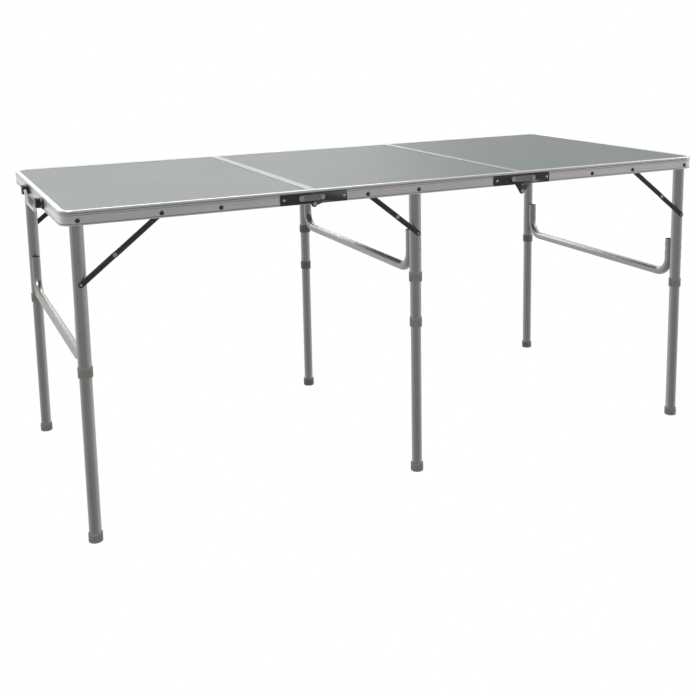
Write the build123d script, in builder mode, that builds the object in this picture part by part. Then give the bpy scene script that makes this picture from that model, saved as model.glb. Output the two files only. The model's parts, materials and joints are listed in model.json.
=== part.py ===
from build123d import *
import os
from math import hypot

os.makedirs("parts", exist_ok=True)

# ---------------------------------------------------------------- driving dimensions (mm)
# Origin: floor level, centre of the table. X along the length, Y across (front is -Y), Z up.
PANEL_LENGTH = 580.0
TABLE_DEPTH = 775.0
TABLE_HEIGHT = 760.0
HALF_DEPTH = TABLE_DEPTH / 2
END_X = 1.5 * PANEL_LENGTH
SEAM_X = PANEL_LENGTH / 2
SEAM_GAP = 0.4

# Rim rail section: u is measured inwards from the outermost face, heights are absolute.
RAIL_HEIGHT = 33.0
RAIL_BOTTOM = TABLE_HEIGHT - RAIL_HEIGHT
WEB_OUTER = 1.0
WEB_INNER = 2.4
TOP_BEAD = 5.5
BOTTOM_BEAD = 3.0
LIP_WIDTH = 11.0
LIP_DROP = 0.6
LIP_THICKNESS = 1.2
LEDGE_WIDTH = 12.0
LEDGE_THICKNESS = 1.2
RIB_DEPTH = 0.5
RIB_WIDTH = 2.0
RIB_Z = RAIL_BOTTOM + 24.0
CORNER_RADIUS = 30.0

# Board held between the lip and the ledge of the rails
LIP_UNDERSIDE = TABLE_HEIGHT - LIP_DROP - LIP_THICKNESS
BOARD_TOP = LIP_UNDERSIDE - 0.1
BOARD_THICKNESS = 3.2
BOARD_BOTTOM = BOARD_TOP - BOARD_THICKNESS
LEDGE_TOP = BOARD_BOTTOM - 0.1
BOARD_MARGIN = WEB_INNER + 0.3
FIELD_MARGIN = LIP_WIDTH + 0.4
FIELD_RISE = 0.6

# Legs
PIVOT_Z = TABLE_HEIGHT - 22.0
LEG_INSET = 23.0
LEG_Y = HALF_DEPTH - LEG_INSET
LEG_FROM_END = 36.0
LEG_X = {"left": LEG_FROM_END - END_X, "middle": -10.0, "right": END_X - LEG_FROM_END}
FOLD_SIGN = {"left": 1, "middle": -1, "right": -1}
TUBE_R = 15.0
WALL = 0.8
STAGE_STEP = 1.0
COLLAR_WALL = 1.6
COLLAR_HEIGHT = 24.0
COLLAR_LIP = 5.0
MIDDLE_STAGE_RISE = 60.0
LOWER_COLLAR_Z = 385.0
MIDDLE_COLLAR_Z = 502.0
STAGE_OVERLAP = 40.0
FOOT_R = 16.2
FOOT_HEIGHT = 21.0
FOOT_SOLE = 5.0

# U-shaped cross tubes
CROSS_R = 11.5
CROSS_WALL = 1.2
CROSS_BEND = 46.0
CROSS_BAR_Z = {"left": 417.0, "middle": 528.0, "right": 417.0}
CROSS_TOP_RISE = 102.0
CROSS_SCREW_RISE = (58.0, 84.0)
CROSS_Y = LEG_Y - TUBE_R - CROSS_R - 0.1
SCREW_R = 2.5
SCREW_HEAD_R = 4.6
SCREW_HEAD = 2.2

# Braces: the rail pivot is brace_rail_x from the leg pivot, the leg pivot hole is brace_leg_z below it
BRACE_RAIL_X = {"left": 182.0, "middle": 139.0, "right": 182.0}
BRACE_LEG_Z = {"left": 142.0, "middle": 111.0, "right": 142.0}
BAR_WIDTH = 13.0
BAR_THICKNESS = 1.8
UPPER_BAR_OUTER = 3.2
LOWER_BAR_OUTER = 5.3
BAR_RIVET_R = 3.0
BAR_HOLE_R = 3.05
BAR_RIVET_HEAD_R = 5.0

# Rivets through the rails
PIVOT_R = 4.0
RAIL_RIVET_HEAD_R = 5.5
RAIL_RIVET_HEAD = 2.0
CLIP_RIVET_X = 318.0

# Seam hardware on the outer faces of the side rails
LEAF_LENGTH = 84.0
LEAF_BOTTOM = RAIL_BOTTOM + 1.0
LEAF_TOP = RAIL_BOTTOM + 26.0
INNER_LEAF = 1.6
OUTER_LEAF = 1.9
LEAF_LIFT = 0.1
LUG_THICKNESS = 2.2
EYE_R = 8.0
HINGE_PIN_R = 3.0
HINGE_Z = {"left": RAIL_BOTTOM, "right": RAIL_BOTTOM - 17.0}
LATCH_Z = TABLE_HEIGHT - 18.0
LATCH_PIVOT_X = 33.0
LATCH_STUD_X = {"left": 20.0, "right": 28.0}
LATCH_HALF_WIDTH = 7.5
LATCH_GAP = 0.3
LATCH_THICKNESS = 1.8
LATCH_STUD_R = 3.0
LATCH_NOTCH_R = 4.8

# Carry handle on the left end rail
BRACKET_INNER_Y = 104.0
BRACKET_OUTER_Y = 148.0
BRACKET_HOUSING = 26.0
BRACKET_HEIGHT = 22.0
BRACKET_PLATE = 2.5
BRACKET_DEPTH = 14.0
BRACKET_SCREW_Y = 139.0
BRACKET_SCREW_STEP = 6.0
HANDLE_Z = TABLE_HEIGHT - 19.0
GRIP_R = 4.0
GRIP_SAG = 26.0
GRIP_X = -END_X - 8.5


def save(label, builder):
    """Label a finished piece and write it as a STEP file."""
    builder.part.label = label
    export_step(builder.part, f"parts/{label}.step")


def rail_plane(origin, inward):
    """Section plane of a rail: local x points into the panel, local y is up, the normal runs along the rail."""
    return Plane(origin=origin, x_dir=inward, z_dir=Vector(inward).cross(Vector(0, 0, 1)))


def rail_section(plane):
    """Rim rail section on its plane: (inward distance, height)."""
    top = TABLE_HEIGHT
    with BuildSketch(plane) as section:
        with BuildLine():
            Polyline(
                (0.0, top - 2.0),
                (0.0, top - TOP_BEAD),
                (WEB_OUTER, top - TOP_BEAD),
                (WEB_OUTER, RAIL_BOTTOM + BOTTOM_BEAD),
                (0.0, RAIL_BOTTOM + BOTTOM_BEAD),
                (0.0, RAIL_BOTTOM + 0.6),
                (0.6, RAIL_BOTTOM),
                (WEB_INNER, RAIL_BOTTOM),
                (WEB_INNER, LEDGE_TOP - LEDGE_THICKNESS),
                (LEDGE_WIDTH, LEDGE_TOP - LEDGE_THICKNESS),
                (LEDGE_WIDTH, LEDGE_TOP),
                (WEB_INNER, LEDGE_TOP),
                (WEB_INNER, LIP_UNDERSIDE),
                (LIP_WIDTH, LIP_UNDERSIDE),
                (LIP_WIDTH, top - LIP_DROP),
                (WEB_INNER + 1.4, top - LIP_DROP),
                (WEB_INNER + 0.6, top),
                (2.0, top),
            )
            ThreePointArc((2.0, top), (0.586, top - 0.586), (0.0, top - 2.0))
        make_face()
        with Locations((WEB_OUTER - RIB_DEPTH / 2 + 0.1, RIB_Z)):
            Rectangle(RIB_DEPTH + 0.2, RIB_WIDTH)
    return section.sketch


def rail_rivet_places(side):
    """Places (x, z) of the leg pivot and the brace pivot in the side rails of one panel."""
    brace_x = LEG_X[side] + FOLD_SIGN[side] * BRACE_RAIL_X[side]
    return (LEG_X[side], PIVOT_Z), (brace_x, PIVOT_Z)


def cylinders_in_y(places, radius, near, far, mode=Mode.ADD):
    """Round bars along Y on both sides of the table, from depth near to depth far behind the rail faces."""
    for plane_offset in (HALF_DEPTH - far, near - HALF_DEPTH):
        with BuildSketch(Plane.XZ.offset(plane_offset)) as rounds:
            with Locations(*places):
                Circle(radius)
        extrude(rounds.sketch, amount=far - near, mode=mode)


def make_side_rails(side, low, high):
    """Front and back rails of one panel, from x = low to x = high."""
    pivot, brace = rail_rivet_places(side)
    with BuildPart() as rails:
        extrude(rail_section(rail_plane((low, -HALF_DEPTH, 0), (0, 1, 0))), amount=high - low)
        extrude(rail_section(rail_plane((high, HALF_DEPTH, 0), (0, -1, 0))), amount=high - low)
        cylinders_in_y([pivot], PIVOT_R, -1, WEB_INNER + 1, Mode.SUBTRACT)
        cylinders_in_y([brace], BAR_RIVET_R, -1, WEB_INNER + 1, Mode.SUBTRACT)
        if side != "middle":
            clip = (LEG_X[side] + FOLD_SIGN[side] * CLIP_RIVET_X, PIVOT_Z)
            cylinders_in_y([clip], BAR_RIVET_R, -1, WEB_INNER + 1, Mode.SUBTRACT)
    save(f"{side}_side_rails", rails)


def handle_screw_places():
    """(y, z) of the screws that hold the two handle brackets."""
    steps = (-BRACKET_SCREW_STEP, BRACKET_SCREW_STEP)
    return [(sign * BRACKET_SCREW_Y, HANDLE_Z + step) for sign in (-1, 1) for step in steps]


def make_end_rail(side, sign):
    """End rail of an outer panel, with the two rounded corners of the table."""
    corner_x = sign * (END_X - CORNER_RADIUS)
    corner_y = HALF_DEPTH - CORNER_RADIUS
    with BuildPart() as rail:
        straight = rail_section(rail_plane((sign * END_X, -sign * corner_y, 0), (-sign, 0, 0)))
        extrude(straight, amount=2 * corner_y)
        for y_sign in (-1, 1):
            section = rail_section(rail_plane((corner_x, y_sign * HALF_DEPTH, 0), (0, -y_sign, 0)))
            turn = Axis((corner_x, y_sign * corner_y, 0), (0, 0, -sign * y_sign))
            revolve(section, axis=turn, revolution_arc=90)
        if side == "left":
            with BuildSketch(Plane.YZ.offset(-END_X - 1)):
                with Locations(*handle_screw_places()):
                    Circle(SCREW_R)
            extrude(amount=WEB_INNER + 2, mode=Mode.SUBTRACT)
    save(f"{side}_end_rail", rail)


def make_seam_rails(label, faces):
    """Rails along the seams, butting against the side rails. faces holds (face x, sign of inward X)."""
    reach = HALF_DEPTH - LEDGE_WIDTH - 0.1
    with BuildPart() as rails:
        for face_x, inward in faces:
            extrude(rail_section(rail_plane((face_x, inward * reach, 0), (inward, 0, 0))), amount=2 * reach)
    save(label, rails)


def make_board(side, low, high):
    """Laminate board of one panel: thinner under the rail lips, raised between them."""
    with BuildPart() as board:
        with BuildSketch(Plane.XY.offset(BOARD_BOTTOM)):
            with Locations(((low + high) / 2, 0)):
                Rectangle(high - low - 2 * BOARD_MARGIN, TABLE_DEPTH - 2 * BOARD_MARGIN)
        extrude(amount=BOARD_THICKNESS)
        if side != "middle":
            uprights = board.edges().filter_by(Axis.Z).sort_by(Axis.X)
            corners = uprights[-2:] if side == "right" else uprights[:2]
            fillet(corners, CORNER_RADIUS - BOARD_MARGIN)
        with BuildSketch(Plane.XY.offset(BOARD_TOP)) as field:
            with Locations(((low + high) / 2, 0)):
                Rectangle(high - low - 2 * FIELD_MARGIN, TABLE_DEPTH - 2 * FIELD_MARGIN)
            if side != "middle":
                corners = field.vertices().sort_by(Axis.X)
                corners = corners[-2:] if side == "right" else corners[:2]
                fillet(corners, CORNER_RADIUS - FIELD_MARGIN)
        extrude(amount=FIELD_RISE)
    save(f"{side}_board", board)


def tubes_at(places, bottom, top, outer, inner):
    """Round upright tubes added to the current part at each (x, y)."""
    with BuildSketch(Plane.XY.offset(bottom)) as rings:
        with Locations(*places):
            Circle(outer)
        with Locations(*places):
            Circle(inner, mode=Mode.SUBTRACT)
    extrude(rings.sketch, amount=top - bottom)


def leg_places(side):
    """(x, y) of the two legs of a pair."""
    return [(LEG_X[side], -LEG_Y), (LEG_X[side], LEG_Y)]


def cross_screw_places(side):
    """(x, z) of the screws that hold a cross tube to its legs."""
    return [(LEG_X[side], CROSS_BAR_Z[side] + rise) for rise in CROSS_SCREW_RISE]


def brace_leg_place(side):
    """(x, z) of the brace rivet on the leg."""
    return LEG_X[side], PIVOT_Z - BRACE_LEG_Z[side]


def make_upper_tubes(side):
    """Upper leg tubes, with heads rounded about the pivot and holes for every fastener."""
    collar_z = MIDDLE_COLLAR_Z if side == "middle" else LOWER_COLLAR_Z
    x = LEG_X[side]
    reach = LEG_INSET + TUBE_R + 1
    with BuildPart() as tubes:
        tubes_at(leg_places(side), collar_z + COLLAR_LIP, PIVOT_Z + TUBE_R, TUBE_R, TUBE_R - WALL)
        with BuildSketch(Plane.XZ.offset(-HALF_DEPTH)):
            with Locations((x, PIVOT_Z + TUBE_R)):
                Rectangle(3 * TUBE_R, 2 * TUBE_R)
            with Locations((x, PIVOT_Z)):
                Circle(TUBE_R, mode=Mode.SUBTRACT)
        extrude(amount=TABLE_DEPTH, mode=Mode.SUBTRACT)
        cylinders_in_y([(x, PIVOT_Z)], PIVOT_R + 0.05, 1, reach, Mode.SUBTRACT)
        cylinders_in_y(cross_screw_places(side), SCREW_R, 1, reach, Mode.SUBTRACT)
        cylinders_in_y([brace_leg_place(side)], BAR_RIVET_R, 1, LEG_INSET, Mode.SUBTRACT)
    save(f"{side}_upper_tubes", tubes)


def make_stage(label, side, bottom, top, outer):
    """Telescopic stage tubes of a pair of legs."""
    with BuildPart() as tubes:
        tubes_at(leg_places(side), bottom, top, outer, outer - WALL)
    save(label, tubes)


def make_collars(label, side, bottom, outer):
    """Collars around the lower ends of a stage: a sleeve with a narrower guide lip below the tube."""
    guide = outer - STAGE_STEP + 0.2
    places = leg_places(side)
    with BuildPart() as collars:
        tubes_at(places, bottom, bottom + COLLAR_LIP, outer + COLLAR_WALL, guide)
        tubes_at(places, bottom + COLLAR_LIP, bottom + COLLAR_HEIGHT, outer + COLLAR_WALL, outer)
        rims = collars.edges().filter_by(GeomType.CIRCLE).group_by(SortBy.RADIUS)[-1]
        chamfer(rims, 0.6)
    save(label, collars)


def make_feet(side, tube_radius):
    """Plastic feet: a sleeve over the end of the lowest tube, closed by a thick sole."""
    places = leg_places(side)
    with BuildPart() as feet:
        tubes_at(places, FOOT_SOLE, FOOT_HEIGHT, FOOT_R, tube_radius)
        with BuildSketch(Plane.XY):
            with Locations(*places):
                Circle(FOOT_R)
        extrude(amount=FOOT_SOLE)
        rims = feet.edges().filter_by(GeomType.CIRCLE).group_by(SortBy.RADIUS)[-1]
        chamfer(rims, 0.8)
    save(f"{side}_feet", feet)


def make_cross_tube(side):
    """U-shaped cross tube between the two legs of a pair, its arms along the inner sides of the legs."""
    bar_z = CROSS_BAR_Z[side]
    top = bar_z + CROSS_TOP_RISE
    x = LEG_X[side]
    arm_near = LEG_INSET + TUBE_R
    corners = [(x, -CROSS_Y, top), (x, -CROSS_Y, bar_z), (x, CROSS_Y, bar_z), (x, CROSS_Y, top)]
    with BuildPart() as cross:
        with BuildLine() as path:
            FilletPolyline(*corners, radius=CROSS_BEND)
        with BuildSketch(Plane.XY.offset(top)):
            with Locations((x, -CROSS_Y)):
                Circle(CROSS_R)
                Circle(CROSS_R - CROSS_WALL, mode=Mode.SUBTRACT)
        sweep(path=path.line)
        arm_far = arm_near + 2 * CROSS_R + 2
        cylinders_in_y(cross_screw_places(side), SCREW_R, arm_near, arm_far, Mode.SUBTRACT)
    save(f"{side}_cross_tube", cross)


def make_cross_screws(side):
    """Screws through each arm into the leg wall, and the rivets in the outer wall of the leg."""
    outer_wall = LEG_INSET - TUBE_R
    inner_wall = LEG_INSET + TUBE_R
    arm_face = inner_wall + 0.1 + 2 * CROSS_R
    places = cross_screw_places(side)
    with BuildPart() as screws:
        cylinders_in_y(places, SCREW_R, outer_wall, outer_wall + WALL)
        cylinders_in_y(places, SCREW_HEAD_R, outer_wall - SCREW_HEAD, outer_wall)
        cylinders_in_y(places, SCREW_R, inner_wall - WALL, arm_face)
        cylinders_in_y(places, SCREW_HEAD_R, arm_face, arm_face + SCREW_HEAD)
    save(f"{side}_cross_screws", screws)


def brace_lengths(side):
    """Lengths of the upper and the lower bar: straight when the leg stands, in line when it is folded."""
    rail_x = BRACE_RAIL_X[side]
    leg_z = BRACE_LEG_Z[side]
    span = hypot(rail_x, leg_z)
    return (span + rail_x - leg_z) / 2, (span - rail_x + leg_z) / 2


def knuckle_place(side):
    """(x, z) of the knuckle between the two bars of a brace."""
    upper, lower = brace_lengths(side)
    rail_x, rail_z = rail_rivet_places(side)[1]
    leg_x, leg_z = brace_leg_place(side)
    share = upper / (upper + lower)
    return rail_x + (leg_x - rail_x) * share, rail_z + (leg_z - rail_z) * share


def flat_bars(start, end, near, start_hole, end_hole):
    """Flat bars with round ends on both sides, from start to end (x, z), with a hole at each end."""
    along = (end[0] - start[0], 0, end[1] - start[1])
    middle_x = (start[0] + end[0]) / 2
    middle_z = (start[1] + end[1]) / 2
    length = hypot(along[0], along[2])
    for y in (near + BAR_THICKNESS - HALF_DEPTH, HALF_DEPTH - near):
        plane = Plane(origin=(middle_x, y, middle_z), x_dir=along, z_dir=(0, -1, 0))
        with BuildSketch(plane) as bars:
            SlotCenterToCenter(length, BAR_WIDTH)
            if start_hole:
                with Locations((-length / 2, 0)):
                    Circle(start_hole, mode=Mode.SUBTRACT)
            if end_hole:
                with Locations((length / 2, 0)):
                    Circle(end_hole, mode=Mode.SUBTRACT)
        extrude(bars.sketch, amount=BAR_THICKNESS)


def make_brace(side):
    """Upper bars, lower bars, knuckle rivets and leg rivets of the two braces of a pair of legs."""
    rail_place = rail_rivet_places(side)[1]
    knuckle = knuckle_place(side)
    leg_place = brace_leg_place(side)
    upper_inner = UPPER_BAR_OUTER + BAR_THICKNESS
    with BuildPart() as upper:
        flat_bars(rail_place, knuckle, UPPER_BAR_OUTER, BAR_HOLE_R, BAR_RIVET_R)
    save(f"{side}_brace_upper_bars", upper)
    with BuildPart() as lower:
        flat_bars(knuckle, leg_place, LOWER_BAR_OUTER, None, BAR_HOLE_R)
    save(f"{side}_brace_lower_bars", lower)
    with BuildPart() as knuckle_rivets:
        cylinders_in_y([knuckle], BAR_RIVET_R, UPPER_BAR_OUTER, upper_inner)
        cylinders_in_y([knuckle], BAR_RIVET_HEAD_R, UPPER_BAR_OUTER - 0.5, UPPER_BAR_OUTER)
    save(f"{side}_knuckle_rivets", knuckle_rivets)
    with BuildPart() as leg_rivets:
        cylinders_in_y([leg_place], BAR_RIVET_R, LOWER_BAR_OUTER, LEG_INSET - TUBE_R + WALL)
    save(f"{side}_leg_rivets", leg_rivets)


def make_rail_rivets(side):
    """Rivets of one panel: leg pivots and brace pivots, with heads on the outer faces of the rails."""
    pivot, brace = rail_rivet_places(side)
    pivot_end = LEG_INSET + TUBE_R + 0.4
    with BuildPart() as rivets:
        cylinders_in_y([pivot], PIVOT_R, WEB_OUTER, pivot_end)
        cylinders_in_y([pivot], RAIL_RIVET_HEAD_R, pivot_end, pivot_end + RAIL_RIVET_HEAD)
        cylinders_in_y([brace], BAR_RIVET_R, WEB_OUTER, UPPER_BAR_OUTER + BAR_THICKNESS)
        heads = [pivot, brace]
        if side != "middle":
            clip = (LEG_X[side] + FOLD_SIGN[side] * CLIP_RIVET_X, PIVOT_Z)
            cylinders_in_y([clip], BAR_RIVET_R, WEB_OUTER, WEB_INNER)
            cylinders_in_y([clip], RAIL_RIVET_HEAD_R, WEB_INNER, WEB_INNER + RAIL_RIVET_HEAD)
            heads.append(clip)
        cylinders_in_y(heads, RAIL_RIVET_HEAD_R, WEB_OUTER - RAIL_RIVET_HEAD, WEB_OUTER)
    save(f"{side}_rail_rivets", rivets)


def outside_planes(low, thickness):
    """Plane offsets for a plate outside both side rails, from low to low + thickness beyond them."""
    return HALF_DEPTH + low, -(HALF_DEPTH + low + thickness)


def leaf_plate(seam_x, sign):
    """Plate of a hinge leaf on the rail's outer face, on the side of the seam that sign points to."""
    with Locations((seam_x + sign * (0.5 + LEAF_LENGTH / 2), (LEAF_BOTTOM + LEAF_TOP) / 2)):
        RectangleRounded(LEAF_LENGTH, LEAF_TOP - LEAF_BOTTOM, 2)


def make_inner_leaves(label, seam_x, sign, axis_z):
    """Hinge leaves that lie next to the rail: a plate, and an eye around the hinge axis."""
    with BuildPart() as leaves:
        for plane_offset in outside_planes(LEAF_LIFT, INNER_LEAF):
            with BuildSketch(Plane.XZ.offset(plane_offset)):
                leaf_plate(seam_x, sign)
                with Locations((seam_x, axis_z)):
                    Circle(EYE_R)
                if axis_z < RAIL_BOTTOM:
                    with BuildLine():
                        Polyline(
                            (seam_x + sign * 22, LEAF_BOTTOM + 2),
                            (seam_x + sign * 1, LEAF_BOTTOM + 2),
                            (seam_x - sign * 7, axis_z + 3),
                            (seam_x + sign * 7, axis_z - 3),
                            close=True,
                        )
                    make_face()
                with Locations((seam_x, axis_z)):
                    Circle(HINGE_PIN_R + 0.05, mode=Mode.SUBTRACT)
            extrude(amount=INNER_LEAF)
    save(label, leaves)


def make_outer_leaves(label, seam_x, sign, axis_z):
    """Thicker hinge leaves, with a raised lug that laps over the eye of the other leaf."""
    lug_top = LEAF_BOTTOM + 5
    with BuildPart() as leaves:
        for plane_offset in outside_planes(LEAF_LIFT, OUTER_LEAF):
            with BuildSketch(Plane.XZ.offset(plane_offset)):
                leaf_plate(seam_x, sign)
                with Locations((seam_x, axis_z)):
                    Circle(EYE_R + 1.5, mode=Mode.SUBTRACT)
            extrude(amount=OUTER_LEAF)
        for plane_offset in outside_planes(LEAF_LIFT + OUTER_LEAF, LUG_THICKNESS):
            with BuildSketch(Plane.XZ.offset(plane_offset)):
                with Locations((seam_x, axis_z)):
                    Circle(EYE_R - 1)
                with BuildLine():
                    Polyline(
                        (seam_x - sign * 5, axis_z + 3.5),
                        (seam_x + sign * 5, axis_z - 3.5),
                        (seam_x + sign * 24, LEAF_BOTTOM + 1),
                        (seam_x + sign * 24, lug_top),
                        (seam_x + sign * 4, lug_top),
                        close=True,
                    )
                make_face()
                with Locations((seam_x, axis_z)):
                    Circle(HINGE_PIN_R + 0.05, mode=Mode.SUBTRACT)
            extrude(amount=LUG_THICKNESS)
    save(label, leaves)


def make_hinge_pins(label, seam_x, axis_z):
    """Hinge pins through both leaves, with a head outside the lug."""
    lug_face = LEAF_LIFT + OUTER_LEAF + LUG_THICKNESS
    with BuildPart() as pins:
        cylinders_in_y([(seam_x, axis_z)], HINGE_PIN_R, -lug_face, -LEAF_LIFT)
        cylinders_in_y([(seam_x, axis_z)], EYE_R - 3, -lug_face - 1.4, -lug_face)
    save(label, pins)


def make_latch_bars(label, seam_x, sign, stud_x):
    """Latch bars over a seam: an eye at one end, a downward hook at the other. sign points to the eye."""
    eye_x = seam_x + sign * LATCH_PIVOT_X
    hook_x = seam_x - sign * stud_x
    low = LEAF_LIFT + OUTER_LEAF + LATCH_GAP
    mouth = 10.0
    with BuildPart() as bars:
        for plane_offset in outside_planes(low, LATCH_THICKNESS):
            with BuildSketch(Plane.XZ.offset(plane_offset)):
                with Locations(((eye_x + hook_x) / 2, LATCH_Z)):
                    SlotCenterToCenter(abs(eye_x - hook_x), 2 * LATCH_HALF_WIDTH)
                with Locations((hook_x, LATCH_Z)):
                    Circle(LATCH_NOTCH_R, mode=Mode.SUBTRACT)
                with Locations((hook_x - sign * mouth / 2, LATCH_Z - mouth / 2)):
                    Rectangle(mouth + 2 * LATCH_NOTCH_R, mouth, mode=Mode.SUBTRACT)
                with Locations((eye_x, LATCH_Z)):
                    Circle(LATCH_STUD_R + 0.05, mode=Mode.SUBTRACT)
            extrude(amount=LATCH_THICKNESS)
    save(label, bars)


def make_latch_studs(label, places):
    """Headed studs on the hinge leaves, for latch bars to turn on or to hook over."""
    bar_face = LEAF_LIFT + OUTER_LEAF + LATCH_GAP + LATCH_THICKNESS
    with BuildPart() as studs:
        for x, foot in places:
            cylinders_in_y([(x, LATCH_Z)], LATCH_STUD_R, -bar_face - LATCH_GAP, -LEAF_LIFT - foot)
        heads = [(x, LATCH_Z) for x, foot in places]
        cylinders_in_y(heads, 2 * LATCH_STUD_R, -bar_face - LATCH_GAP - 1.8, -bar_face - LATCH_GAP)
    save(label, studs)


def make_handle():
    """Bail handle on the left end rail: two brackets, their screws and a bent wire grip."""
    face = -END_X - 0.1
    with BuildPart() as brackets:
        for sign in (-1, 1):
            plate_y = sign * (BRACKET_INNER_Y + BRACKET_OUTER_Y) / 2
            with BuildSketch(Plane.YZ.offset(face - BRACKET_PLATE)):
                with Locations((plate_y, HANDLE_Z)):
                    RectangleRounded(BRACKET_OUTER_Y - BRACKET_INNER_Y, BRACKET_HEIGHT, 4)
                with Locations(*handle_screw_places()):
                    Circle(SCREW_R, mode=Mode.SUBTRACT)
            extrude(amount=BRACKET_PLATE)
            housing_y = sign * (BRACKET_INNER_Y + BRACKET_HOUSING / 2)
            with BuildSketch(Plane.YZ.offset(face - BRACKET_DEPTH)):
                with Locations((housing_y, HANDLE_Z)):
                    RectangleRounded(BRACKET_HOUSING, BRACKET_HEIGHT, 4)
            extrude(amount=BRACKET_DEPTH - BRACKET_PLATE)
        with BuildSketch(Plane.XZ.offset(-(BRACKET_INNER_Y + 20))):
            with Locations((GRIP_X, HANDLE_Z)):
                Circle(GRIP_R + 0.05)
        extrude(amount=2 * BRACKET_INNER_Y + 40, mode=Mode.SUBTRACT)
    save("handle_brackets", brackets)
    with BuildPart() as screws:
        with BuildSketch(Plane.YZ.offset(face - BRACKET_PLATE)):
            with Locations(*handle_screw_places()):
                Circle(SCREW_R)
        extrude(amount=BRACKET_PLATE + WEB_INNER + 0.1)
        with BuildSketch(Plane.YZ.offset(face - BRACKET_PLATE - 1.6)):
            with Locations(*handle_screw_places()):
                Circle(SCREW_HEAD_R - 0.4)
        extrude(amount=1.6)
    save("handle_screws", screws)
    bottom = HANDLE_Z - GRIP_SAG
    end_y = BRACKET_INNER_Y + 19
    shoulder_y = BRACKET_INNER_Y - 12
    low_y = shoulder_y - 34
    route = [
        (GRIP_X, -end_y, HANDLE_Z),
        (GRIP_X, -shoulder_y, HANDLE_Z),
        (GRIP_X, -low_y, bottom),
        (GRIP_X, low_y, bottom),
        (GRIP_X, shoulder_y, HANDLE_Z),
        (GRIP_X, end_y, HANDLE_Z),
    ]
    with BuildPart() as grip:
        with BuildLine() as path:
            FilletPolyline(*route, radius=16)
        with BuildSketch(Plane(origin=route[0], x_dir=(1, 0, 0), z_dir=(0, 1, 0))):
            Circle(GRIP_R)
        sweep(path=path.line)
    save("handle_grip", grip)


def make_leg_pair(side):
    """Everything that belongs to one pair of legs."""
    make_upper_tubes(side)
    make_cross_tube(side)
    make_cross_screws(side)
    make_brace(side)
    make_rail_rivets(side)
    first_inner = TUBE_R - STAGE_STEP
    lower_top = LOWER_COLLAR_Z + STAGE_OVERLAP
    if side == "middle":
        stage_top = MIDDLE_COLLAR_Z + MIDDLE_STAGE_RISE
        make_collars("middle_upper_collars", side, MIDDLE_COLLAR_Z, TUBE_R)
        make_stage("middle_stage_tubes", side, LOWER_COLLAR_Z + COLLAR_LIP, stage_top, first_inner)
        make_collars("middle_lower_collars", side, LOWER_COLLAR_Z, first_inner)
        make_stage("middle_lower_tubes", side, FOOT_SOLE, lower_top, first_inner - STAGE_STEP)
        make_feet(side, first_inner - STAGE_STEP)
    else:
        make_collars(f"{side}_collars", side, LOWER_COLLAR_Z, TUBE_R)
        make_stage(f"{side}_lower_tubes", side, FOOT_SOLE, lower_top, first_inner)
        make_feet(side, first_inner)


def make_seam_hardware():
    """Hinges and latches over the two seams."""
    left_x = -SEAM_X
    right_x = SEAM_X
    make_inner_leaves("left_hinge_leaves", left_x, -1, HINGE_Z["left"])
    make_outer_leaves("middle_left_hinge_leaves", left_x, 1, HINGE_Z["left"])
    make_inner_leaves("middle_right_hinge_leaves", right_x, -1, HINGE_Z["right"])
    make_outer_leaves("right_hinge_leaves", right_x, 1, HINGE_Z["right"])
    make_hinge_pins("left_hinge_pins", left_x, HINGE_Z["left"])
    make_hinge_pins("right_hinge_pins", right_x, HINGE_Z["right"])
    make_latch_bars("left_latch_bars", left_x, -1, LATCH_STUD_X["left"])
    make_latch_bars("right_latch_bars", right_x, 1, LATCH_STUD_X["right"])
    catch_places = [
        (left_x + LATCH_STUD_X["left"], OUTER_LEAF),
        (right_x - LATCH_STUD_X["right"], INNER_LEAF),
    ]
    make_latch_studs("left_latch_pivots", [(left_x - LATCH_PIVOT_X, INNER_LEAF)])
    make_latch_studs("right_latch_pivots", [(right_x + LATCH_PIVOT_X, OUTER_LEAF)])
    make_latch_studs("latch_catch_studs", catch_places)


def make_panels():
    """Boards and rim rails of the three panels."""
    low_seam = SEAM_X - SEAM_GAP
    high_seam = SEAM_X + SEAM_GAP
    end = END_X - CORNER_RADIUS
    make_board("left", -END_X, -high_seam)
    make_board("middle", -low_seam, low_seam)
    make_board("right", high_seam, END_X)
    make_side_rails("left", -end, -high_seam)
    make_side_rails("middle", -low_seam, low_seam)
    make_side_rails("right", high_seam, end)
    make_seam_rails("left_seam_rail", [(-high_seam, -1)])
    make_seam_rails("middle_seam_rails", [(-low_seam, 1), (low_seam, -1)])
    make_seam_rails("right_seam_rail", [(high_seam, 1)])
    make_end_rail("left", -1)
    make_end_rail("right", 1)


make_panels()
for pair in ("left", "middle", "right"):
    make_leg_pair(pair)
make_seam_hardware()
make_handle()
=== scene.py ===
import json
import math

import bmesh
import bpy
from mathutils import Matrix, Vector


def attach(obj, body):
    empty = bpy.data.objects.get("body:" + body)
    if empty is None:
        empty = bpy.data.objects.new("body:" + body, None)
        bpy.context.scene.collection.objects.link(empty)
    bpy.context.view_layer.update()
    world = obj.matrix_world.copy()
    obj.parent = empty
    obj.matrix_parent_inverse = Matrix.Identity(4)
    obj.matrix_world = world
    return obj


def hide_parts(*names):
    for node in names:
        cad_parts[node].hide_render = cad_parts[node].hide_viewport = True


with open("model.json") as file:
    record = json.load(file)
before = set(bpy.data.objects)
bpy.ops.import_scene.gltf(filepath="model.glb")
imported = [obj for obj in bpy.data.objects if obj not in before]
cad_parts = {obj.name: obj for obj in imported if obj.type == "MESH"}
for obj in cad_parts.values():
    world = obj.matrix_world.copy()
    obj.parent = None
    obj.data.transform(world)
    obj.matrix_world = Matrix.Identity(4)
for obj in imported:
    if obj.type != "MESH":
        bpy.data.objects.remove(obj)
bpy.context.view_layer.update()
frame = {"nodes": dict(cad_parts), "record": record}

SIDES = ("left", "middle", "right")
BODIES = frame["record"]["behaviour"]["bodies"]
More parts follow.
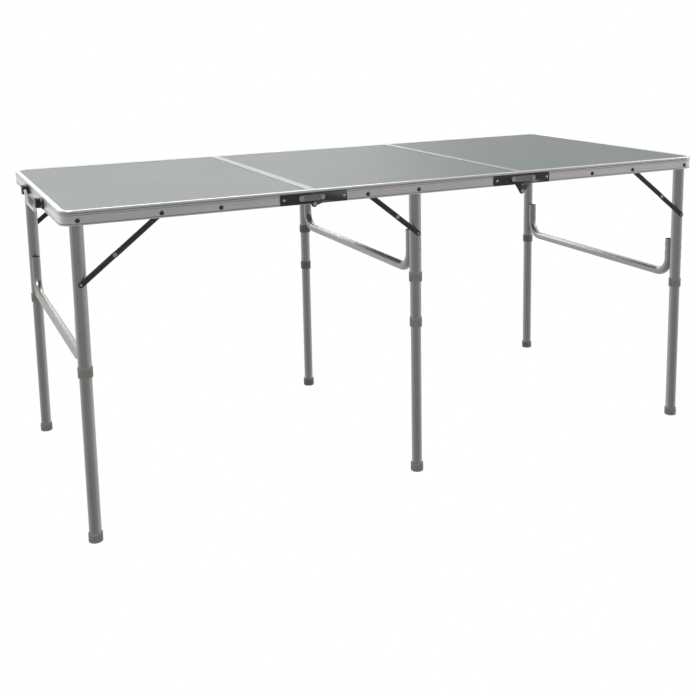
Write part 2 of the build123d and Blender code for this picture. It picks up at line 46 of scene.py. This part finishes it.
BODY_OF = {node: body for body, nodes in BODIES.items() for node in nodes}
SLOTS = {row["node"]: row["material_slot"] for row in frame["record"]["subparts"]}
MM = 0.001

# Heights (m) of the bands of painted shade along the grooves in the rails' outer faces, and how soft their
# edges are
BAND_EDGE = 0.00035
RAIL_GROOVE_SHADE = ((0.7526, 0.7546), (0.7488, 0.7499), (0.7299, 0.7310))


# ---------------------------------------------------------------- materials
class Shader:
    """A material's node tree, with short calls for the nodes that the finishes share."""

    def __init__(self, name, metallic, roughness, **fixed):
        self.material = bpy.data.materials.new(name)
        self.material.use_nodes = True
        self.nodes = self.material.node_tree.nodes
        self.links = self.material.node_tree.links
        self.shader = self.nodes["Principled BSDF"]
        self.shader.inputs["Metallic"].default_value = metallic
        self.shader.inputs["Roughness"].default_value = roughness
        for socket, value in fixed.items():
            self.shader.inputs[socket.replace("_", " ")].default_value = value
        self.place = self.nodes.new("ShaderNodeTexCoord").outputs["Object"]

    def stretched(self, scale):
        """Object coordinates scaled per axis, so that a noise runs along the axis with the small scale."""
        mapping = self.nodes.new("ShaderNodeMapping")
        mapping.inputs["Scale"].default_value = scale
        self.links.new(self.place, mapping.inputs["Vector"])
        return mapping.outputs["Vector"]

    def noise(self, vector, scale, detail=6.0, roughness=0.6):
        """A fractal noise value."""
        node = self.nodes.new("ShaderNodeTexNoise")
        node.inputs["Scale"].default_value = scale
        node.inputs["Detail"].default_value = detail
        node.inputs["Roughness"].default_value = roughness
        self.links.new(vector, node.inputs["Vector"])
        return node.outputs["Fac"]

    def cells(self, vector, scale):
        """Distance to the nearest of many scattered points."""
        node = self.nodes.new("ShaderNodeTexVoronoi")
        node.inputs["Scale"].default_value = scale
        self.links.new(vector, node.inputs["Vector"])
        return node.outputs["Distance"]

    def ramp(self, value, *stops):
        """A colour ramp from (position, colour) stops."""
        node = self.nodes.new("ShaderNodeValToRGB")
        elements = node.color_ramp.elements
        while len(elements) < len(stops):
            elements.new(0.5)
        for element, (position, colour) in zip(elements, stops):
            element.position = position
            element.color = (*colour, 1.0)
        self.links.new(value, node.inputs["Fac"])
        return node.outputs["Color"]

    def spread(self, value, low, high):
        """A value from 0..1 mapped to low..high."""
        node = self.nodes.new("ShaderNodeMapRange")
        node.inputs["To Min"].default_value = low
        node.inputs["To Max"].default_value = high
        self.links.new(value, node.inputs["Value"])
        return node.outputs["Result"]

    def mixed(self, factor, first, second, blend="MIX"):
        """Two colours mixed by a factor."""
        node = self.nodes.new("ShaderNodeMix")
        node.data_type = "RGBA"
        node.blend_type = blend
        self.links.new(factor, node.inputs["Factor"])
        for socket, colour in ((node.inputs["A"], first), (node.inputs["B"], second)):
            if isinstance(colour, tuple):
                socket.default_value = (*colour, 1.0)
            else:
                self.links.new(colour, socket)
        return node.outputs["Result"]

    def bump(self, *heights):
        """Surface relief from (height, strength, distance) layers."""
        normal = None
        for height, strength, distance in heights:
            node = self.nodes.new("ShaderNodeBump")
            node.inputs["Strength"].default_value = strength
            node.inputs["Distance"].default_value = distance
            self.links.new(height, node.inputs["Height"])
            if normal:
                self.links.new(normal, node.inputs["Normal"])
            normal = node.outputs["Normal"]
        self.links.new(normal, self.shader.inputs["Normal"])

    def band(self, low, high):
        """1 between two heights, 0 elsewhere, with a soft edge."""
        parts = self.nodes.new("ShaderNodeSeparateXYZ")
        self.links.new(self.place, parts.inputs["Vector"])
        halves = []
        for start, sign in ((low, 1.0), (high, -1.0)):
            node = self.nodes.new("ShaderNodeMapRange")
            node.inputs["From Min"].default_value = start - sign * BAND_EDGE
            node.inputs["From Max"].default_value = start + sign * BAND_EDGE
            self.links.new(parts.outputs["Z"], node.inputs["Value"])
            halves.append(node.outputs["Result"])
        both = self.nodes.new("ShaderNodeMath")
        both.operation = "MULTIPLY"
        for socket, half in zip(both.inputs, halves):
            self.links.new(half, socket)
        return both.outputs["Value"]

    def worn_edges(self, low, high):
        """1 on convex edges, 0 on flat stretches."""
        pointiness = self.nodes.new("ShaderNodeNewGeometry").outputs["Pointiness"]
        return self.ramp(pointiness, (low, (0, 0, 0)), (high, (1, 1, 1)))

    def finish(self, colour=None, roughness=None):
        """Connects the colour and the roughness, and returns the material."""
        if colour:
            self.links.new(colour, self.shader.inputs["Base Color"])
        if roughness:
            self.links.new(roughness, self.shader.inputs["Roughness"])
        return self.material


def grey(value, warmth=0.0):
    """A grey with a slight warm tint."""
    return value * (1 + warmth), value, value * (1 - warmth)


def stone_laminate():
    """Grey-green printed laminate with a fine leathery relief."""
    s = Shader("stone_laminate", 0.0, 0.5, Specular_IOR_Level=0.35)
    broad = s.noise(s.place, 5.0, 3.0)
    fine = s.noise(s.place, 420.0, 4.0, 0.7)
    specks = s.cells(s.place, 900.0)
    base = s.ramp(broad, (0.3, (0.196, 0.228, 0.206)), (0.7, (0.222, 0.252, 0.230)))
    grain = s.ramp(fine, (0.34, (0.80, 0.81, 0.80)), (0.66, (1.0, 1.0, 1.0)))
    printed = s.mixed(s.spread(broad, 0.75, 0.95), base, grain, "MULTIPLY")
    dots = s.ramp(specks, (0.06, (1, 1, 1)), (0.2, (0, 0, 0)))
    colour = s.mixed(s.spread(dots, 0.0, 0.35), printed, (0.36, 0.39, 0.37))
    s.bump((fine, 0.30, 0.0004), (specks, 0.25, 0.0003))
    return s.finish(colour, s.spread(fine, 0.40, 0.58))


def drawn_aluminium(name, along, base, roughness, warmth, painted_groove_shade=()):
    """Satin aluminium: die lines along one axis, faint blotches, scuffs, and painted shade in level grooves.
    """
    s = Shader(name, 1.0, 0.32)
    scale = [900.0, 900.0, 900.0]
    scale["XYZ".index(along)] = 3.0
    lines = s.noise(s.stretched(scale), 1.0, 4.0)
    blotch = s.noise(s.place, 14.0, 4.0)
    scuffs = s.noise(s.place, 160.0, 6.0, 0.75)
    tone = s.ramp(lines, (0.3, grey(base * 0.90, warmth)), (0.7, grey(base * 1.06, warmth)))
    dull = s.ramp(blotch, (0.35, grey(0.90)), (0.65, grey(1.0)))
    colour = s.mixed(s.spread(blotch, 0.5, 0.9), tone, dull, "MULTIPLY")
    worn = s.ramp(scuffs, (0.60, grey(0.0)), (0.74, grey(1.0)))
    colour = s.mixed(s.spread(worn, 0.0, 0.3), colour, grey(base * 0.72))
    for low, high in painted_groove_shade:
        # painted shade: dark bands at the grooves' heights stand in for the shade that falls in them
        colour = s.mixed(s.band(low, high), colour, grey(base * 0.28, warmth))
    s.bump((lines, 0.10, 0.0002), (scuffs, 0.04, 0.0002))
    return s.finish(colour, s.spread(s.noise(s.stretched(scale), 0.6, 3.0), *roughness))


def moulded_plastic(name, colour, shine=(0.45, 0.62)):
    """Moulded plastic with a fine spark-eroded grain and slightly paler rubbed edges."""
    s = Shader(name, 0.0, 0.5, Specular_IOR_Level=0.4)
    grain = s.noise(s.place, 1600.0, 3.0)
    broad = s.noise(s.place, 40.0, 4.0)
    dark = tuple(c * 0.88 for c in colour)
    pale = tuple(min(1.0, c * 1.7 + 0.02) for c in colour)
    tone = s.ramp(broad, (0.3, dark), (0.7, colour))
    tone = s.mixed(s.spread(s.worn_edges(0.52, 0.6), 0.0, 0.5), tone, pale)
    s.bump((grain, 0.22, 0.0002))
    return s.finish(tone, s.spread(broad, *shine))


def black_paint():
    """Black powder coat on pressed steel, with orange-peel relief and rubbed edges."""
    s = Shader("black_steel", 0.0, 0.35, Specular_IOR_Level=0.5, Coat_Weight=0.15)
    peel = s.noise(s.place, 700.0, 2.0)
    broad = s.noise(s.place, 60.0, 5.0)
    tone = s.ramp(broad, (0.3, grey(0.012)), (0.75, grey(0.026)))
    rubbed = s.mixed(s.spread(s.worn_edges(0.53, 0.62), 0.0, 0.55), tone, grey(0.22))
    s.bump((peel, 0.18, 0.0003))
    return s.finish(rubbed, s.spread(broad, 0.26, 0.44))


def plated_steel(name, base, roughness, warmth=0.0):
    """Plated steel with faint haze and hairline scratches."""
    s = Shader(name, 1.0, roughness[0])
    haze = s.noise(s.place, 220.0, 5.0)
    hairs = s.noise(s.stretched((2400.0, 90.0, 400.0)), 1.0, 3.0)
    tone = s.ramp(haze, (0.3, grey(base * 0.86, warmth)), (0.7, grey(base, warmth)))
    s.bump((hairs, 0.06, 0.0002))
    return s.finish(tone, s.spread(haze, *roughness))


# Base grey, roughness range, warmth and painted groove shade of the bright rails
RAIL_LOOK = (0.86, (0.20, 0.36), 0.012, RAIL_GROOVE_SHADE)
FINISHES = {
    "stone_laminate": stone_laminate(),
    "rail_aluminium": drawn_aluminium("rail_aluminium", "X", *RAIL_LOOK),
    "rail_aluminium_across": drawn_aluminium("rail_aluminium_across", "Y", *RAIL_LOOK),
    "seam_aluminium": drawn_aluminium("seam_aluminium", "Y", 0.40, (0.40, 0.55), 0.0),
    "leg_aluminium": drawn_aluminium("leg_aluminium", "Z", 0.50, (0.22, 0.34), 0.03),
    "cross_tube_steel": drawn_aluminium("cross_tube_steel", "Y", 0.46, (0.24, 0.38), 0.03),
    "grey_plastic": moulded_plastic("grey_plastic", (0.215, 0.215, 0.198)),
    "black_plastic": moulded_plastic("black_plastic", (0.018, 0.018, 0.018), (0.35, 0.5)),
    "black_steel": black_paint(),
    "brace_steel": plated_steel("brace_steel", 0.075, (0.26, 0.42), 0.01),
    "latch_steel": plated_steel("latch_steel", 0.34, (0.16, 0.30)),
    "chrome_wire": plated_steel("chrome_wire", 0.75, (0.10, 0.20)),
    "fastener_steel": plated_steel("fastener_steel", 0.55, (0.16, 0.30)),
    "dark_rivet": plated_steel("dark_rivet", 0.10, (0.12, 0.24)),
}


def dress_cad_nodes():
    """Gives every CAD node the finish of its slot."""
    for name, obj in frame["nodes"].items():
        finish = SLOTS[name]
        if "end_rail" in name:
            finish = "rail_aluminium_across"
        if "seam_rail" in name:
            finish = "seam_aluminium"
        if "rail_rivets" in name:
            finish = "dark_rivet"
        if "latch_bars" in name:
            finish = "latch_steel"
        obj.data.materials.clear()
        obj.data.materials.append(FINISHES[finish])


dress_cad_nodes()


# ---------------------------------------------------------------- turned and softened pieces
# Places and sizes in millimetres, as in the model. A depth is counted outwards from the rails' faces.
HALF_DEPTH = 387.5
PIVOT_Z = 738.0
LEG_X = {"left": -834.0, "middle": -10.0, "right": 834.0}
LEG_Y = 364.5
FOLD_SIGN = {"left": 1, "middle": -1, "right": -1}
BRACE_RAIL_X = {"left": 182.0, "middle": 139.0, "right": 182.0}
CLIP_X = 318.0
SEAM_X = 290.0
LEAF_RIVET_X = 76.0
LEAF_RIVET_Z = 740.5
LOWER_COLLAR_Z = 385.0
MIDDLE_COLLAR_Z = 502.0
COLLAR_HEIGHT = 24.0
COLLAR_WALL = 1.6
FOOT_R = 16.2
FOOT_HEIGHT = 21.0
FOOT_SOLE_R = 2.0
COLLAR_LIP = 5.0
LIP_STEP = 0.8
FIT_GAP = 0.02
TURN_STEPS = 48
SMOOTH_BELOW = math.radians(38)
SHARP_ABOVE = math.radians(50)
FLAT_BELOW = math.radians(1)

# Outline of a domed rivet head on the rail: (outward from the rail's outermost face, radius)
DOME = ((-1.0, 5.5), (-0.5, 5.4), (0.15, 4.7), (0.62, 3.5), (0.9, 2.0), (1.0, 0.0))
# The rivets from their inner ends to the dome
PIVOT_RIVET = ((-40.4, 0.0), (-40.4, 4.4), (-39.6, 5.5), (-38.4, 5.5), (-38.4, 4.0), (-1.0, 4.0), *DOME)
BRACE_RIVET = ((-5.0, 0.0), (-5.0, 3.0), (-1.0, 3.0), *DOME)
CLIP_RIVET = ((-4.4, 0.0), (-4.4, 4.4), (-3.6, 5.5), (-2.4, 5.5), (-2.4, 3.0), (-1.0, 3.0), *DOME)
# A leaf rivet: (outward from the leaf's face, radius)
LEAF_RIVET = ((0.0, 0.0), (0.0, 3.6), (0.5, 3.4), (1.1, 2.2), (1.4, 0.0))
# Hinge leaves: node, seam x, side of the seam, depth of the outer face
LEAVES = (
    ("left_hinge_leaves", -SEAM_X, -1, 1.7),
    ("middle_left_hinge_leaves", -SEAM_X, 1, 2.0),
    ("middle_right_hinge_leaves", SEAM_X, -1, 1.7),
    ("right_hinge_leaves", SEAM_X, 1, 2.0),
)
# Collars: node, pair of legs, lower end, radius of the tube that they sit on
COLLARS = (
    ("middle_upper_collars", "middle", MIDDLE_COLLAR_Z, 15.0),
    ("middle_lower_collars", "middle", LOWER_COLLAR_Z, 14.0),
    ("left_collars", "left", LOWER_COLLAR_Z, 15.0),
    ("right_collars", "right", LOWER_COLLAR_Z, 15.0),
)
LOWEST_TUBE_R = {"left": 14.0, "middle": 13.0, "right": 14.0}


def turned(bm, centre, outward, outline, closed=False):
    """Adds a turned shape round a line through centre. outline holds (distance along it, radius) in mm."""
    axis = Vector(outward).normalized()
    side = axis.orthogonal().normalized()
    other = axis.cross(side)
    rings = []
    for distance, radius in outline:
        middle = Vector(centre) + axis * distance
        if radius == 0:
            rings.append([bm.verts.new(middle * MM)])
            continue
        ring = []
        for step in range(TURN_STEPS):
            angle = 2 * math.pi * step / TURN_STEPS
            spoke = side * math.cos(angle) + other * math.sin(angle)
            ring.append(bm.verts.new((middle + spoke * radius) * MM))
        rings.append(ring)
    pairs = list(zip(rings, rings[1:]))
    if closed:
        pairs.append((rings[-1], rings[0]))
    for first, second in pairs:
        for step in range(TURN_STEPS):
            after = (step + 1) % TURN_STEPS
            corners = [first[step % len(first)], first[after % len(first)]]
            corners += [second[after % len(second)], second[step % len(second)]]
            bm.faces.new(list(dict.fromkeys(corners)))


def add_piece(name, bm, body, finish, replaced=()):
    """Makes an object of the mesh, on its body, in place of the CAD nodes it stands for."""
    bmesh.ops.recalc_face_normals(bm, faces=bm.faces)
    mesh = bpy.data.meshes.new(name)
    bm.to_mesh(mesh)
    bm.free()
    mesh.shade_smooth()
    mesh.set_sharp_from_angle(angle=SMOOTH_BELOW)
    mesh.materials.append(FINISHES[finish])
    obj = bpy.data.objects.new(name, mesh)
    bpy.context.scene.collection.objects.link(obj)
    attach(obj, body)
    if replaced:
        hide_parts(*replaced)


def stand_in(node, bm, finish=None):
    """A detailed piece in place of one CAD node."""
    slot = SLOTS[node]
    add_piece(f"{node}_detail", bm, BODY_OF[node], finish or slot, (node,))


def on_both_faces(bm, x, z, outline):
    """The same turned shape on the front and the back rail face."""
    for sign in (-1, 1):
        turned(bm, (x, sign * HALF_DEPTH, z), (0, sign, 0), outline)


def make_rail_rivets():
    """Domed rivets: the leg pivots, the brace pivots, and the clip rivets of the outer panels."""
    for side in SIDES:
        bm = bmesh.new()
        on_both_faces(bm, LEG_X[side], PIVOT_Z, PIVOT_RIVET)
        brace_x = LEG_X[side] + FOLD_SIGN[side] * BRACE_RAIL_X[side]
        on_both_faces(bm, brace_x, PIVOT_Z, BRACE_RIVET)
        if side != "middle":
            on_both_faces(bm, LEG_X[side] + FOLD_SIGN[side] * CLIP_X, PIVOT_Z, CLIP_RIVET)
        stand_in(f"{side}_rail_rivets", bm, "dark_rivet")


def make_leaf_rivets():
    """Small bright rivets near the outer ends of the hinge leaves."""
    for node, seam, sign, face in LEAVES:
        bm = bmesh.new()
        outline = [(face + rise, radius) for rise, radius in LEAF_RIVET]
        on_both_faces(bm, seam + sign * LEAF_RIVET_X, LEAF_RIVET_Z, outline)
        add_piece(f"{node}_rivets", bm, BODY_OF[node], "fastener_steel")


def ribbed(top, radius, inner, guide):
    """Closed outline of a sleeve from 0 to top: shallow ribs outside, a narrower lip inside its lower end."""
    outline = [(0.0, guide), (0.0, radius - 0.7), (0.7, radius)]
    floor = radius - 0.45
    for groove in range(3):
        low = 5.0 + groove * (top - 9.0) / 3
        outline += [(low, radius), (low + 0.4, floor), (low + 1.2, floor), (low + 1.6, radius)]
    outline += [(top - 0.6, radius), (top, radius - 0.6), (top, inner)]
    return outline + [(COLLAR_LIP, inner), (COLLAR_LIP, guide)]


def make_sleeves():
    """Ribbed collars at the ends of the leg stages, and ribbed feet."""
    for node, side, bottom, tube in COLLARS:
        bm = bmesh.new()
        outline = ribbed(COLLAR_HEIGHT, tube + COLLAR_WALL, tube + FIT_GAP, tube - LIP_STEP)
        for y in (-LEG_Y, LEG_Y):
            turned(bm, (LEG_X[side], y, bottom), (0, 0, 1), outline, closed=True)
        stand_in(node, bm)
    for side in SIDES:
        bm = bmesh.new()
        outline = ribbed(FOOT_HEIGHT, FOOT_R, LOWEST_TUBE_R[side] + FIT_GAP, FOOT_SOLE_R)
        for y in (-LEG_Y, LEG_Y):
            turned(bm, (LEG_X[side], y, 0.0), (0, 0, 1), outline, closed=True)
        stand_in(f"{side}_feet", bm)


def soften(node, width, finish=None):
    """The CAD node's own mesh, with its sharp edges rounded."""
    bm = bmesh.new()
    bm.from_mesh(frame["nodes"][node].data)
    bmesh.ops.remove_doubles(bm, verts=bm.verts, dist=1e-6)
    bmesh.ops.dissolve_limit(bm, angle_limit=FLAT_BELOW, verts=bm.verts, edges=bm.edges)
    inner = [e for e in bm.edges if len(e.link_faces) == 2]
    sharp = [e for e in inner if e.calc_face_angle() > SHARP_ABOVE]
    bmesh.ops.bevel(bm, geom=sharp, offset=width * MM, segments=2, affect="EDGES", clamp_overlap=True)
    stand_in(node, bm, finish)


make_rail_rivets()
make_leaf_rivets()
make_sleeves()
for seam_node in ("left", "middle_left", "middle_right", "right"):
    soften(f"{seam_node}_hinge_leaves", 0.3)
for side in SIDES:
    for level in ("upper", "lower"):
        soften(f"{side}_brace_{level}_bars", 0.3)
for side in ("left", "right"):
    soften(f"{side}_latch_bars", 0.35, "latch_steel")
soften("handle_brackets", 0.8)


# ---------------------------------------------------------------- stage, light, camera
def make_world():
    """A white surround to look at. What the metal mirrors is bright behind and above, dim in front."""
    world = bpy.data.worlds.new("studio")
    world.use_nodes = True
    nodes, links = world.node_tree.nodes, world.node_tree.links
    seen = nodes["Background"]
    seen.inputs["Color"].default_value = (1.0, 1.0, 1.0, 1.0)
    direction = nodes.new("ShaderNodeTexCoord").outputs["Generated"]
    levels = []
    for axis, low, high in WORLD_SPREADS:
        dot = nodes.new("ShaderNodeVectorMath")
        dot.operation = "DOT_PRODUCT"
        dot.inputs[1].default_value = axis
        links.new(direction, dot.inputs[0])
        spread = nodes.new("ShaderNodeMapRange")
        spread.interpolation_type = "SMOOTHSTEP"
        spread.inputs["From Min"].default_value = -1.0
        spread.inputs["To Min"].default_value = low
        spread.inputs["To Max"].default_value = high
        links.new(dot.outputs["Value"], spread.inputs["Value"])
        levels.append(spread.outputs["Result"])
    total = nodes.new("ShaderNodeMath")
    total.operation = "ADD"
    for socket, level in zip(total.inputs, levels):
        links.new(level, socket)
    lit = nodes.new("ShaderNodeBackground")
    links.new(total.outputs["Value"], lit.inputs["Strength"])
    choice = nodes.new("ShaderNodeMixShader")
    links.new(nodes.new("ShaderNodeLightPath").outputs["Is Camera Ray"], choice.inputs["Fac"])
    links.new(lit.outputs["Background"], choice.inputs[1])
    links.new(seen.outputs["Background"], choice.inputs[2])
    links.new(choice.outputs["Shader"], nodes["World Output"].inputs["Surface"])
    bpy.context.scene.world = world


def make_area_light(name, place, target, size, power):
    """A soft rectangular light aimed at a point."""
    light = bpy.data.lights.new(name, "AREA")
    light.shape = "RECTANGLE"
    light.size = size[0]
    light.size_y = size[1]
    light.energy = power
    obj = bpy.data.objects.new(name, light)
    obj.location = place
    obj.rotation_euler = (Vector(target) - Vector(place)).to_track_quat("-Z", "Y").to_euler()
    bpy.context.scene.collection.objects.link(obj)


def make_lights():
    """A large key above the left front, a fill at the right, and a strip behind the table."""
    for name, place, size, power in LIGHTS:
        make_area_light(name, place, LIGHT_TARGET, size, power)


def make_camera():
    """The camera, in front of the left end, 1.12 m above the floor."""
    camera = bpy.data.cameras.new("camera")
    camera.sensor_width = 36.0
    camera.lens = LENS
    camera.shift_x = SHIFT_X
    camera.shift_y = SHIFT_Y
    obj = bpy.data.objects.new("camera", camera)
    obj.location = CAMERA_PLACE
    level = math.cos(PITCH)
    ahead = Vector((math.sin(YAW) * level, math.cos(YAW) * level, -math.sin(PITCH)))
    turn = ahead.to_track_quat("-Z", "Y") @ Matrix.Rotation(ROLL, 4, "Z").to_quaternion()
    obj.rotation_euler = turn.to_euler()
    bpy.context.scene.collection.objects.link(obj)
    bpy.context.scene.camera = obj


LIGHT_TARGET = (0.0, 0.0, 0.5)
# Name, place (m), size (m), power (W)
LIGHTS = (
    ("key", (-2.6, -2.2, 3.4), (1.8, 1.2), 60.0),
    ("fill", (3.6, -1.6, 2.0), (1.0, 2.2), 30.0),
    ("back", (0.5, 4.0, 2.6), (3.5, 1.2), 40.0),
)
# Axis, and the strength of the surround against that axis and along it
WORLD_SPREADS = (((0.40, 0.90, 0.0), 0.14, 0.74), ((0.0, 0.0, 1.0), 0.14, 0.42))
YAW = 0.4296
PITCH = 0.1642
ROLL = -0.0189
LENS = 52.38
SHIFT_X = 0.0
SHIFT_Y = -0.2126
CAMERA_PLACE = (-1.1918, -2.5461, 1.1214)

make_world()
make_lights()
make_camera()

bpy.context.scene.view_settings.view_transform = "Standard"
bpy.context.view_layer.update()
